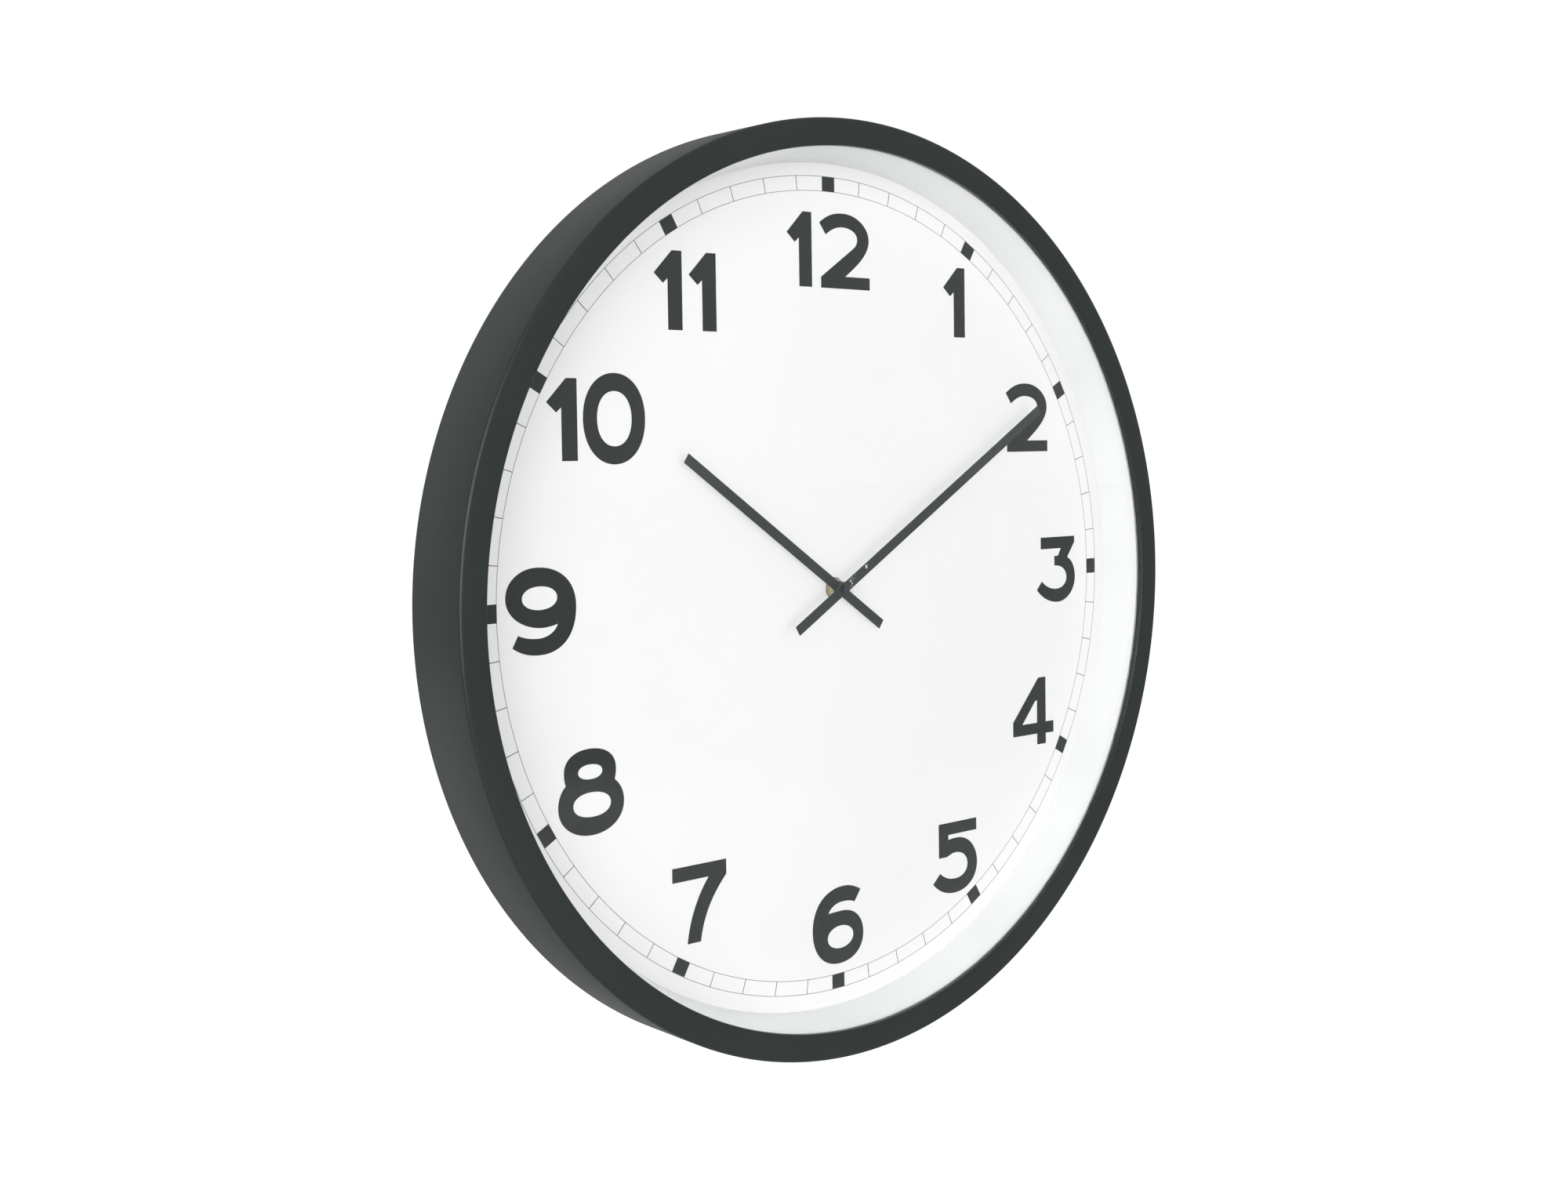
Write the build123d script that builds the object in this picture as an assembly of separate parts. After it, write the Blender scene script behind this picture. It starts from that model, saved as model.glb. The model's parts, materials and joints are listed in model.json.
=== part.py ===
from build123d import *
import math
import os

# Round wall clock: spun steel case, printed dial, two straight hands and a quartz movement.
# Everything is drawn "on the bench": X right and Y up on the dial, Z is the height in front of
# the wall, and each piece is stood up against the wall when it is written.

# Case, glass and dial, in millimetres
case_radius = 300.0
case_depth = 51.0
sheet = 1.2
corner_radius = 2.5
lip_radius = 282.5
lip_depth = 3.7
lip_round = 1.2
gasket_height = 0.6
gasket_inset = 0.4
glass_play = 0.1
glass_radius = 287.0
glass_thickness = 3.0
dial_front = 18.0
dial_thickness = 1.0
dial_radius = 296.0
wall_foot_radius = 275.8
wall_top_radius = 282.9
flange_thickness = 1.0
flange_overhang = 0.2
wall_foot_thickness = 1.35
wall_top_thickness = 0.9
stud_count = 6
stud_circle = 290.0
stud_radius = 1.5
stud_end = 13.2
stud_first_angle = 30.0
stud_hole_gap = 0.2
stud_washer_radius = 3.5
stud_washer_thickness = 0.5
washer_play = 0.1
nut_across_flats = 5.5
nut_height = 2.4

# Hanger with its keyhole
hanger_half_width = 35.0
hanger_low = 262.0
hanger_back = 2.0
hanger_sheet = 1.5
hanger_flange_depth = 12.0
hanger_weld = 0.02
key_head_radius = 5.0
key_slot_radius = 2.5
key_head_y = 272.0
key_slot_y = 282.0

# Hands: angles clockwise from twelve o'clock, at ten past ten
minute_angle = 58.7
hour_angle = 300.0 + minute_angle / 12.0
minute_reach = 225.5
minute_tail = 47.5
hour_reach = 152.0
hour_tail = 45.5
hand_width = 6.6
hand_thickness = 0.8
hour_hand_back = 23.1
minute_hand_back = 27.6
hour_hub_radius = 5.0
minute_hub_radius = 4.7

# Movement body
body_half = 28.0
body_corner = 3.0
body_wall = 1.5
body_front = 16.5
body_back = 0.6
front_inner = body_front - body_wall
cover_inner = body_back + body_wall
bay_wall_y = -11.9
bay_wall = 1.0
cell_radius = 7.1
cell_y = -19.2
cell_height = 7.8
cell_minus_x = -24.4
cell_shoulder_x = 25.0
cell_plus_x = 26.05
cell_button_radius = 2.7

# Concentric tubes through the dial
bush_radius = 3.95
bush_bore = 2.62
bush_end = 21.6
bush_hole_gap = 0.15
bush_flange_radius = 6.0
bush_flange_thickness = 1.2
rubber_radius = 8.0
washer_radius = 7.5
washer_thickness = 0.6
bush_nut_flats = 10.0
bush_nut_height = 2.4
collet_radius = 3.6
collet_gap = 0.3
minute_collet_radius = 4.3
minute_collet_gap = 0.7
cap_height = 2.5
hour_tube_radius = 2.55
hour_tube_bore = 1.76
hour_tube_end = 24.0
minute_shaft_radius = 1.7
minute_shaft_bore = 0.65
minute_thread_radius = 1.45
minute_thread_end = 30.2

# Gear train: teeth, modules and the two centre distances that they share
train_distance = 10.5
motion_distance = 9.6
rotor_distance = 9.0
rotor_teeth, intermediate_teeth = 10, 50
intermediate_pinion_teeth, second_teeth = 10, 60
second_pinion_teeth, third_teeth = 8, 60
third_pinion_teeth, centre_teeth = 8, 64
cannon_teeth, motion_teeth = 12, 36
motion_pinion_teeth, hour_teeth = 10, 40
knob_teeth = 12


def module_for(distance, teeth_a, teeth_b):
    return 2.0 * distance / (teeth_a + teeth_b)


rotor_module = module_for(rotor_distance, rotor_teeth, intermediate_teeth)
second_module = module_for(train_distance, intermediate_pinion_teeth, second_teeth)
third_module = module_for(train_distance, second_pinion_teeth, third_teeth)
centre_module = module_for(train_distance, third_pinion_teeth, centre_teeth)
motion_module = module_for(motion_distance, cannon_teeth, motion_teeth)
hour_module = module_for(motion_distance, motion_pinion_teeth, hour_teeth)
knob_distance = motion_module * (motion_teeth + knob_teeth) / 2.0

# Directions between the arbors, in degrees anticlockwise from +X
third_direction = 180.0
intermediate_direction = 30.0
rotor_direction = 75.0
motion_direction = 120.0
knob_direction = 135.0


def polar(origin, distance, direction):
    angle = math.radians(direction)
    return (origin[0] + distance * math.cos(angle), origin[1] + distance * math.sin(angle))


centre_at = (0.0, 0.0)
third_at = polar(centre_at, train_distance, third_direction)
intermediate_at = polar(centre_at, train_distance, intermediate_direction)
rotor_at = polar(intermediate_at, rotor_distance, rotor_direction)
motion_at = polar(centre_at, motion_distance, motion_direction)
knob_at = polar(motion_at, knob_distance, knob_direction)

# Each layer of the train is a pair of heights above the wall.
intermediate_pinion_layer = (3.6, 5.2)
second_wheel_layer = (4.0, 4.8)
second_pinion_layer = (4.8, 6.4)
rotor_pinion_layer = (5.2, 6.8)
third_wheel_layer = (5.4, 6.2)
intermediate_wheel_layer = (5.6, 6.2)
third_pinion_layer = (6.6, 8.4)
centre_wheel_layer = (7.0, 7.8)
cannon_layer = (9.4, 11.0)
knob_pinion_layer = (9.6, 10.8)
motion_wheel_layer = (9.8, 10.6)
motion_pinion_layer = (10.9, 12.7)
hour_wheel_layer = (11.4, 12.4)
long_arbor_span = (2.6, 10.0)
short_arbor_span = (2.6, 9.4)
rotor_arbor_span = (4.0, 11.4)
knob_pivot_end = 12.4
shaft_low = 6.8
shaft_bore_end = 11.5

# Fits, and how far a cutting shape reaches past what it cuts
fit = 0.01
thread_fit = 0.02
overcut = 1.0
running = 0.05
pivot_radius = 0.5
arbor_radius = 0.6
boss_radius = 1.4


# Shapes
def rod(at, radius, low, high):
    return Pos(at[0], at[1], low) * extrude(Circle(radius), high - low)


def tube(at, outer, inner, low, high):
    return Pos(at[0], at[1], low) * extrude(Circle(outer) - Circle(inner), high - low)


def slab(x_low, x_high, y_low, y_high, low, high):
    size = Rectangle(x_high - x_low, y_high - y_low)
    return Pos((x_low + x_high) / 2, (y_low + y_high) / 2, low) * extrude(size, high - low)


def turned(points, rounds=()):
    """Revolves an outline of (radius, height) points; rounds is a list of (corner, radius)."""
    outline = make_face(Plane.XZ * Polyline(*points, close=True))
    for corner, radius in rounds:
        target = Vector(corner[0], 0, corner[1])
        nearest = min(outline.vertices(), key=lambda v: (Vector(v.X, v.Y, v.Z) - target).length)
        outline = fillet(nearest, radius)
    return revolve(outline, Axis.Z)


def around(angle_first, count, radius):
    return [polar(centre_at, radius, angle_first + i * 360.0 / count) for i in range(count)]


def hexagon(at, across_flats, low, high):
    return Pos(at[0], at[1], low) * extrude(
        RegularPolygon(across_flats / 2, 6, major_radius=False), high - low)


# Clock teeth: a straight root, a slanted tip and plenty of backlash
tooth_share = 0.41
tip_share = 0.17
addendum = 0.72
dedendum = 1.1


def toothed(at, teeth, module, phase, low, high, bore=0.0):
    pitch_radius = teeth * module / 2
    tip_radius = pitch_radius + addendum * module
    root_radius = pitch_radius - dedendum * module
    step = 360.0 / teeth
    half = step * tooth_share / 2
    tip_half = math.degrees(tip_share * math.pi * module / 2 / tip_radius)
    points = []
    for i in range(teeth):
        middle = phase + i * step
        points += [polar(centre_at, root_radius, middle - half),
                   polar(centre_at, pitch_radius, middle - half),
                   polar(centre_at, tip_radius, middle - tip_half),
                   polar(centre_at, tip_radius, middle + tip_half),
                   polar(centre_at, pitch_radius, middle + half),
                   polar(centre_at, root_radius, middle + half)]
    face = make_face(Polyline(*points, close=True))
    if bore:
        face = face - Circle(bore)
    return Pos(at[0], at[1], low) * extrude(face, high - low)


def meshed(phase_a, teeth_a, direction, teeth_b):
    """Phase of gear b, which lies in the given direction from gear a, so that the teeth mesh."""
    lead = phase_a - direction
    return direction + 180.0 - lead * teeth_a / teeth_b + 180.0 / teeth_b


# Case and dial
def case_shell():
    r, d = case_radius, case_depth
    outline = [(r, 0), (r, d), (lip_radius, d), (lip_radius, d - lip_depth),
               (lip_radius + sheet, d - lip_depth), (lip_radius + sheet, d - sheet),
               (r - sheet, d - sheet), (r - sheet, 0)]
    rounds = [((r, d), corner_radius), ((lip_radius, d), lip_round),
              ((r - sheet, d - sheet), corner_radius - sheet)]
    return turned(outline, rounds)


lip_end = case_depth - lip_depth
glass_front = lip_end - gasket_height
glass_back = glass_front - glass_thickness
dial_back = dial_front - dial_thickness
stud_washer_low = dial_back - stud_washer_thickness
studs_at = around(stud_first_angle, stud_count, stud_circle)


def case_studs():
    return [rod(at, stud_radius, stud_end, case_depth - sheet) for at in studs_at]


def stud_washers():
    return [tube(at, stud_washer_radius, stud_radius + washer_play, stud_washer_low, dial_back)
            for at in studs_at]


def stud_nuts():
    low = stud_washer_low - nut_height
    return [hexagon(at, nut_across_flats, low, stud_washer_low)
            - rod(at, stud_radius + thread_fit, low, stud_washer_low) for at in studs_at]


def glass_gasket():
    return tube(centre_at, glass_radius - glass_play, lip_radius + gasket_inset,
                glass_front, lip_end)


def glass_lens():
    return rod(centre_at, glass_radius, glass_back, glass_front)


def reflector_ring():
    low_flange = dial_front + flange_thickness
    high_flange = glass_back - flange_thickness
    rim = glass_radius + flange_overhang
    outline = [(wall_foot_radius, dial_front), (dial_radius, dial_front),
               (dial_radius, low_flange), (wall_foot_radius + wall_foot_thickness, low_flange),
               (wall_top_radius + wall_top_thickness, high_flange), (rim, high_flange),
               (rim, glass_back), (wall_top_radius, glass_back)]
    ring = turned(outline)
    for at in studs_at:
        ring -= rod(at, stud_radius + stud_hole_gap, dial_front - overcut, low_flange + overcut)
    return ring


def dial_plate():
    plate = rod(centre_at, dial_radius, dial_back, dial_front)
    plate -= rod(centre_at, bush_radius + bush_hole_gap, dial_back - overcut, dial_front + overcut)
    for at in studs_at:
        plate -= rod(at, stud_radius + stud_hole_gap, dial_back - overcut, dial_front + overcut)
    return plate


def hanger_bracket():
    inside = case_radius - sheet
    web = rod(centre_at, inside - hanger_weld, hanger_back, hanger_back + hanger_sheet)
    web &= slab(-hanger_half_width, hanger_half_width, hanger_low, inside,
                hanger_back, hanger_back + hanger_sheet)
    flange = tube(centre_at, inside - hanger_weld, inside - hanger_sheet,
                  hanger_back, hanger_back + hanger_flange_depth)
    flange &= slab(-hanger_half_width, hanger_half_width, hanger_low, inside,
                   hanger_back, hanger_back + hanger_flange_depth)
    low, high = hanger_back - overcut, hanger_back + hanger_sheet + overcut
    keyhole = rod((0, key_head_y), key_head_radius, low, high)
    keyhole += rod((0, key_slot_y), key_slot_radius, low, high)
    keyhole += slab(-key_slot_radius, key_slot_radius, key_head_y, key_slot_y, low, high)
    return web + flange - keyhole


# Tubes, nuts and washers at the middle of the dial
def rubber_washer():
    return tube(centre_at, rubber_radius, bush_radius + running, body_front, dial_back)


washer_top = dial_front + washer_thickness
bush_nut_top = washer_top + bush_nut_height


def steel_washer():
    return tube(centre_at, washer_radius, bush_radius + washer_play, dial_front, washer_top)


def bush_nut():
    nut = hexagon(centre_at, bush_nut_flats, washer_top, bush_nut_top)
    return nut - rod(centre_at, bush_radius + thread_fit, washer_top, bush_nut_top)


def centre_bush():
    flange = tube(centre_at, bush_flange_radius, bush_bore,
                  front_inner - bush_flange_thickness, front_inner)
    return flange + tube(centre_at, bush_radius, bush_bore, front_inner, bush_end)


# Hands
def hand_blade(angle, reach, tail, hub, bore, low):
    bar = Pos((reach - tail) / 2, 0) * Rectangle(reach + tail, hand_width)
    blade = Rot(0, 0, 90.0 - angle) * (bar + Circle(hub) - Circle(bore))
    return Pos(0, 0, low) * extrude(blade, hand_thickness)


def hour_hand():
    return hand_blade(hour_angle, hour_reach, hour_tail, hour_hub_radius,
                      hour_tube_radius + fit, hour_hand_back)


def hour_collet():
    return tube(centre_at, collet_radius, hour_tube_radius + fit, bush_end + collet_gap,
                hour_hand_back)


def minute_hand():
    return hand_blade(minute_angle, minute_reach, minute_tail, minute_hub_radius,
                      minute_shaft_radius + fit, minute_hand_back)


def minute_collet():
    return tube(centre_at, minute_collet_radius, minute_shaft_radius + fit,
                hour_tube_end + minute_collet_gap, minute_hand_back)


def hand_nut():
    low = minute_hand_back + hand_thickness
    nut = hexagon(centre_at, nut_across_flats, low, low + cap_height)
    return nut - rod(centre_at, minute_thread_radius + thread_fit, low,
                     minute_thread_end + running)


# Wheels. Each pinion's phase follows from the wheel that it meshes with.
second_phase = intermediate_direction
intermediate_pinion_phase = meshed(second_phase, second_teeth, intermediate_direction,
                                   intermediate_pinion_teeth)
intermediate_phase = rotor_direction
rotor_phase = meshed(intermediate_phase, intermediate_teeth, rotor_direction, rotor_teeth)
third_phase = third_direction + 180.0
second_pinion_phase = meshed(third_phase, third_teeth, third_direction + 180.0,
                             second_pinion_teeth)
centre_phase = third_direction
third_pinion_phase = meshed(centre_phase, centre_teeth, third_direction, third_pinion_teeth)
motion_phase = motion_direction + 180.0
cannon_phase = meshed(motion_phase, motion_teeth, motion_direction + 180.0, cannon_teeth)
hour_phase = motion_direction
motion_pinion_phase = meshed(hour_phase, hour_teeth, motion_direction, motion_pinion_teeth)
knob_phase = meshed(motion_phase, motion_teeth, knob_direction, knob_teeth)


def minute_shaft():
    thread_start = minute_hand_back + hand_thickness / 2
    shaft = rod(centre_at, minute_shaft_radius, shaft_low, thread_start)
    shaft += rod(centre_at, minute_thread_radius, thread_start, minute_thread_end)
    shaft += toothed(centre_at, cannon_teeth, motion_module, cannon_phase, *cannon_layer)
    return shaft - rod(centre_at, minute_shaft_bore, shaft_low - overcut, shaft_bore_end)


def centre_wheel():
    return toothed(centre_at, centre_teeth, centre_module, centre_phase, *centre_wheel_layer,
                   minute_shaft_radius + fit)


def hour_wheel():
    wheel = toothed(centre_at, hour_teeth, hour_module, hour_phase, *hour_wheel_layer,
                    hour_tube_bore)
    return wheel + tube(centre_at, hour_tube_radius, hour_tube_bore, hour_wheel_layer[1],
                        hour_tube_end)


motion_pin_radius = 0.8
motion_pin_end = 9.2
motion_foot_radius = 1.6
motion_foot_low = 13.0


def motion_wheel():
    bore = motion_pin_radius + running
    wheel = toothed(motion_at, motion_teeth, motion_module, motion_phase, *motion_wheel_layer, bore)
    wheel += tube(motion_at, boss_radius, bore, motion_wheel_layer[1], motion_pinion_layer[0])
    return wheel + toothed(motion_at, motion_pinion_teeth, hour_module, motion_pinion_phase,
                           *motion_pinion_layer, bore)


def third_wheel():
    wheel = toothed(third_at, third_teeth, third_module, third_phase, *third_wheel_layer)
    wheel += toothed(third_at, third_pinion_teeth, centre_module, third_pinion_phase,
                     *third_pinion_layer)
    return wheel + rod(third_at, pivot_radius, *long_arbor_span)


def second_wheel():
    wheel = toothed(centre_at, second_teeth, second_module, second_phase, *second_wheel_layer)
    wheel += toothed(centre_at, second_pinion_teeth, third_module, second_pinion_phase,
                     *second_pinion_layer)
    return wheel + rod(centre_at, arbor_radius, *long_arbor_span)


def intermediate_wheel():
    wheel = toothed(intermediate_at, intermediate_teeth, rotor_module, intermediate_phase,
                    *intermediate_wheel_layer)
    wheel += toothed(intermediate_at, intermediate_pinion_teeth, second_module,
                     intermediate_pinion_phase, *intermediate_pinion_layer)
    return wheel + rod(intermediate_at, pivot_radius, *short_arbor_span)


magnet_radius = 3.0
magnet_low = 7.4
magnet_high = 10.2


def rotor_magnet():
    return tube(rotor_at, magnet_radius, pivot_radius + fit, magnet_low, magnet_high)


def rotor_pinion():
    pinion = toothed(rotor_at, rotor_teeth, rotor_module, rotor_phase, *rotor_pinion_layer)
    return pinion + rod(rotor_at, pivot_radius, *rotor_arbor_span)


knob_disc_radius = 5.2
knob_cup_radius = 5.8
knob_cup_floor = 2.5
knob_cup_wall = 1.3
knob_shaft_radius = 1.2
knob_gap = 0.2
knob_recess = 0.3
knob_notches = 12
knob_notch_radius = 0.6


def setting_knob():
    disc_top = knob_cup_floor - knob_recess
    knob = rod(knob_at, knob_disc_radius, body_back + knob_gap, disc_top)
    for at in around(0.0, knob_notches, knob_disc_radius):
        notch = (knob_at[0] + at[0], knob_at[1] + at[1])
        knob -= rod(notch, knob_notch_radius, 0, knob_cup_floor)
    knob += rod(knob_at, knob_shaft_radius, disc_top, knob_pinion_layer[0])
    knob += toothed(knob_at, knob_teeth, motion_module, knob_phase, *knob_pinion_layer)
    return knob + rod(knob_at, pivot_radius, knob_pinion_layer[1], knob_pivot_end)


# Movement body: a front housing with posts for the pivots, and a rear cover with bosses.
# A post has its place, its free end and the end of its hole. A boss has its place, its free
# end, the start of its hole and the radius of its pivot.
front_posts = [(third_at, 9.0, 10.4), (intermediate_at, 8.6, 9.8), (rotor_at, 10.6, 11.8),
               (knob_at, 11.2, 12.8)]
rear_bosses = [(third_at, 3.7, 2.4, pivot_radius), (intermediate_at, 3.4, 2.4, pivot_radius),
               (centre_at, 3.6, 2.4, arbor_radius), (rotor_at, 5.0, 3.8, pivot_radius)]
smallest_corner = 0.5


def rounded_block(low, high, inset):
    corner = max(body_corner - inset, smallest_corner)
    block = RectangleRounded(2 * (body_half - inset), 2 * (body_half - inset), corner)
    return Pos(0, 0, low) * extrude(block, high - low)


def movement_housing():
    block = rounded_block(body_back, body_front, 0)
    block -= rounded_block(body_back - overcut, front_inner, body_wall)
    wall_half = body_half - body_wall / 2
    block += slab(-wall_half, wall_half, bay_wall_y, bay_wall_y + bay_wall,
                  cover_inner, front_inner)
    beyond = body_half + overcut
    block -= slab(-beyond, beyond, bay_wall_y, beyond, body_back - overcut, cover_inner)
    block -= rod(centre_at, bush_radius, front_inner - overcut, body_front + overcut)
    for at, low, hole_end in front_posts:
        block += rod(at, boss_radius, low, front_inner)
        block -= rod(at, pivot_radius + running, low - overcut, hole_end)
    block += rod(motion_at, motion_foot_radius, motion_foot_low, front_inner)
    block += rod(motion_at, motion_pin_radius, motion_pin_end, front_inner)
    for at in board_posts:
        block += rod(at, board_post_radius, board_high, front_inner)
    return block


def rear_cover():
    plate = rounded_block(body_back, cover_inner, 0)
    beyond = body_half + overcut
    plate -= slab(-beyond, beyond, -beyond, bay_wall_y, body_back - overcut, cover_inner + overcut)
    cup_top = knob_cup_floor + body_wall
    plate += rod(knob_at, knob_cup_radius + knob_cup_wall, cover_inner, cup_top)
    plate -= rod(knob_at, knob_cup_radius, body_back - overcut, knob_cup_floor)
    plate -= rod(knob_at, knob_shaft_radius + running, 0, cup_top + overcut)
    for at, high, hole_start, radius in rear_bosses:
        plate += rod(at, boss_radius, cover_inner, high)
        plate -= rod(at, radius + running, hole_start, high + overcut)
    return plate


# Driver electronics
board_low = 9.6
board_high = 10.4
board_posts = [(24.3, 7.2), (24.3, -8.2)]
board_post_radius = 1.2
board_box = (12.5, 26.0, -9.5, 8.5)
crystal_at = (15.5, 3.0)
crystal_radius = 1.0
crystal_length = 6.0
crystal_gap = 0.05
chip_box = (16.5, 21.5, -6.5, -1.5)
chip_height = 1.1
core_low = 7.6
core_high = 8.4
coil_x = (2.4, 20.4)
coil_y = 22.3
winding_radius = 3.1
core_half = 1.2
bobbin_radius = 1.8
bobbin_cheek = 0.8
cheek_radius = 3.5
pole_y = (9.8, 18.2)
pole_gap = 0.45
stator_sheet = 0.8
arm_x = (-0.6, 23.4)
arm_width = 2.6


def circuit_board():
    return slab(*board_box, board_low, board_high)


def quartz_crystal():
    can = Rot(0, 90, 0) * extrude(Circle(crystal_radius), crystal_length)
    return Pos(*crystal_at, board_high + crystal_radius + crystal_gap) * can


def driver_chip():
    return slab(*chip_box, board_high, board_high + chip_height)


def coil_core():
    return slab(*arm_x, coil_y - core_half, coil_y + core_half, core_low, core_high)


def along_x(x_low, x_high, outer):
    bar = Rot(0, 90, 0) * extrude(Circle(outer), x_high - x_low)
    return Pos(x_low, coil_y, (core_low + core_high) / 2) * bar


def coil_bobbin():
    bobbin = along_x(*coil_x, bobbin_radius)
    bobbin += along_x(coil_x[0], coil_x[0] + bobbin_cheek, cheek_radius)
    bobbin += along_x(coil_x[1] - bobbin_cheek, coil_x[1], cheek_radius)
    return bobbin - coil_core()


def coil_winding():
    winding = along_x(coil_x[0] + bobbin_cheek, coil_x[1] - bobbin_cheek, winding_radius)
    return winding - along_x(*coil_x, bobbin_radius)


def stator():
    low, high = core_high, core_high + stator_sheet
    plate = slab(*arm_x, *pole_y, low, high)
    for x_low in (arm_x[0], arm_x[1] - arm_width):
        plate += slab(x_low, x_low + arm_width, pole_y[1], coil_y + core_half, low, high)
    return plate - rod(rotor_at, magnet_radius + pole_gap, low - overcut, high + overcut)


# Battery and its two contacts
def lengthwise(x_low, x_high, radius):
    bar = Rot(0, 90, 0) * extrude(Circle(radius), x_high - x_low)
    return Pos(x_low, cell_y, cell_height) * bar


def aa_cell():
    can = lengthwise(cell_minus_x, cell_shoulder_x, cell_radius)
    return can + lengthwise(cell_shoulder_x, cell_plus_x, cell_button_radius)


contact_x = (26.1, 26.5)
contact_half = 5.0
contact_span = (3.0, 13.0)
tab_span = (7.0, 10.0)
tab_gap = 0.2
bow_radius = 9.0
bow_height = 6.0
bow_gap = 0.1
bow_reach = 7.0
leaf_room = (0.0, 16.0)


def contact_positive():
    plate = slab(*contact_x, cell_y - contact_half, cell_y + contact_half, *contact_span)
    return plate + slab(*contact_x, cell_y + contact_half, bay_wall_y - tab_gap, *tab_span)


def contact_negative():
    inner, outer = contact_x
    plate = slab(-outer, -inner, cell_y - contact_half, cell_y + contact_half, *contact_span)
    leaf = Circle(bow_radius) - Circle(bow_radius - (outer - inner))
    bow_x = cell_minus_x - bow_gap - bow_radius
    bow = Pos(bow_x, cell_y, cell_height - bow_height / 2) * extrude(leaf, bow_height)
    bow &= slab(-inner, cell_minus_x, cell_y - bow_reach, cell_y + bow_reach, *leaf_room)
    return plate + bow


pieces = [case_shell, case_studs, stud_washers, stud_nuts, glass_gasket, glass_lens,
          reflector_ring, dial_plate, hanger_bracket, rubber_washer, steel_washer, bush_nut,
          centre_bush, hour_hand, hour_collet, minute_hand, minute_collet, hand_nut,
          minute_shaft, centre_wheel, hour_wheel, motion_wheel, third_wheel, second_wheel,
          intermediate_wheel, rotor_magnet, rotor_pinion, setting_knob, movement_housing,
          rear_cover, circuit_board, quartz_crystal, driver_chip, coil_core, coil_bobbin,
          coil_winding, stator, aa_cell, contact_positive, contact_negative]

upright = Rotation(90, 0, 0)


def write(piece):
    made = piece()
    solids = []
    for shape in (made if isinstance(made, list) else [made]):
        solids += (upright * shape).solids()
    whole = solids[0] if len(solids) == 1 else Compound(children=solids)
    export_step(whole, "parts/" + piece.__name__ + ".step")


os.makedirs("parts", exist_ok=True)
for piece in pieces:
    write(piece)
    print("wrote", piece.__name__)
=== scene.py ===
import json
import math

import bmesh
import bpy
from mathutils import Euler, Matrix, Vector


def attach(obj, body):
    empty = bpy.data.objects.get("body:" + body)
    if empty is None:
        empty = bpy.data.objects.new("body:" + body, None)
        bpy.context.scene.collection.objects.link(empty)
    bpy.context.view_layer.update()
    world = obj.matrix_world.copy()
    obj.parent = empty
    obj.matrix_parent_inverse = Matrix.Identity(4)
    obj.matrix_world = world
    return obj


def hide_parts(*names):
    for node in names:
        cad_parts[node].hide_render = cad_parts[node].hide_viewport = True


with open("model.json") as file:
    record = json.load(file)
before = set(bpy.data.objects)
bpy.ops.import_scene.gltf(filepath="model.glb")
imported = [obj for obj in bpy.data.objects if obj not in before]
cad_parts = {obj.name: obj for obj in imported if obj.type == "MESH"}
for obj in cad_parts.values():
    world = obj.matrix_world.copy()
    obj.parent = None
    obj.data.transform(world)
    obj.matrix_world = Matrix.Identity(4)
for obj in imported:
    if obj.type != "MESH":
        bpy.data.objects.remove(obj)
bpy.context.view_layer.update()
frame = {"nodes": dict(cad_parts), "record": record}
print("frame loaded:", len(frame["nodes"]), "nodes")

# Pieces are shaped lying flat in millimetres (x right, y up the dial, z out of the wall),
# then stood up against the wall in metres.
standUp = Matrix.Rotation(math.radians(90), 4, "X") @ Matrix.Scale(0.001, 4)
weldDistance = 0.0005  # millimetres

# Camera: place in metres, turn in degrees
cameraSettings = {
    "location": (-0.7993, -0.8920, 0.0912),
    "turn": (87.361, 0.816, -40.967),
    "lens": 41.53,
    "sensor": 36.0,
    "shiftY": -0.03725,
}

# The floor's glow is given twice: for light that bounces, and for the camera.
studioSettings = {
    "floorHeight": -0.72,
    "floorSize": 60.0,
    "floorShades": (0.28, 0.32),
    "floorPatches": 3.0,
    "floorGlow": (0.14, 0.92),
    "backdropGlow": 1.02,
    "roomSpan": (-0.5, 0.9),
    "roomGlow": (0.37, 0.41),
    "lights": {
        "keyLight": {"place": (0.1, -2.4, -0.25), "size": 1.2, "power": 13.7, "shading": True},
        "leftLight": {"place": (-2.7, -1.9, 0.6), "size": 2.4, "power": 71.0, "mirrored": True},
        "rightLight": {"place": (1.2, -3.0, 0.7), "size": 2.8, "power": 38.0},
        "rearLight": {"place": (-2.2, 2.4, 1.1), "size": 2.0, "power": 82.0},
    },
}


def makeCamera(s):
    data = bpy.data.cameras.new("camera")
    data.lens = s["lens"]
    data.sensor_fit = "HORIZONTAL"
    data.sensor_width = s["sensor"]
    data.shift_y = s["shiftY"]
    data.clip_start = 0.01
    data.dof.use_dof = False
    camera = bpy.data.objects.new("camera", data)
    camera.location = s["location"]
    camera.rotation_euler = Euler([math.radians(a) for a in s["turn"]], "XYZ")
    bpy.context.collection.objects.link(camera)
    bpy.context.scene.camera = camera


# A mirrored light shows as a sheen in the paint. A light that is neither mirrored nor shading
# lets the hands leave no shade on the dial.
def makeAreaLight(name, place, size, power, mirrored=False, shading=False):
    data = bpy.data.lights.new(name, "AREA")
    data.shape = "DISK"
    data.size = size
    data.energy = power
    data.cycles.use_multiple_importance_sampling = mirrored or shading
    light = bpy.data.objects.new(name, data)
    light.location = place
    light.rotation_euler = (-Vector(place)).to_track_quat("-Z", "Y").to_euler()
    light.visible_camera = False
    light.visible_glossy = mirrored
    light.visible_transmission = False
    bpy.context.collection.objects.link(light)


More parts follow.
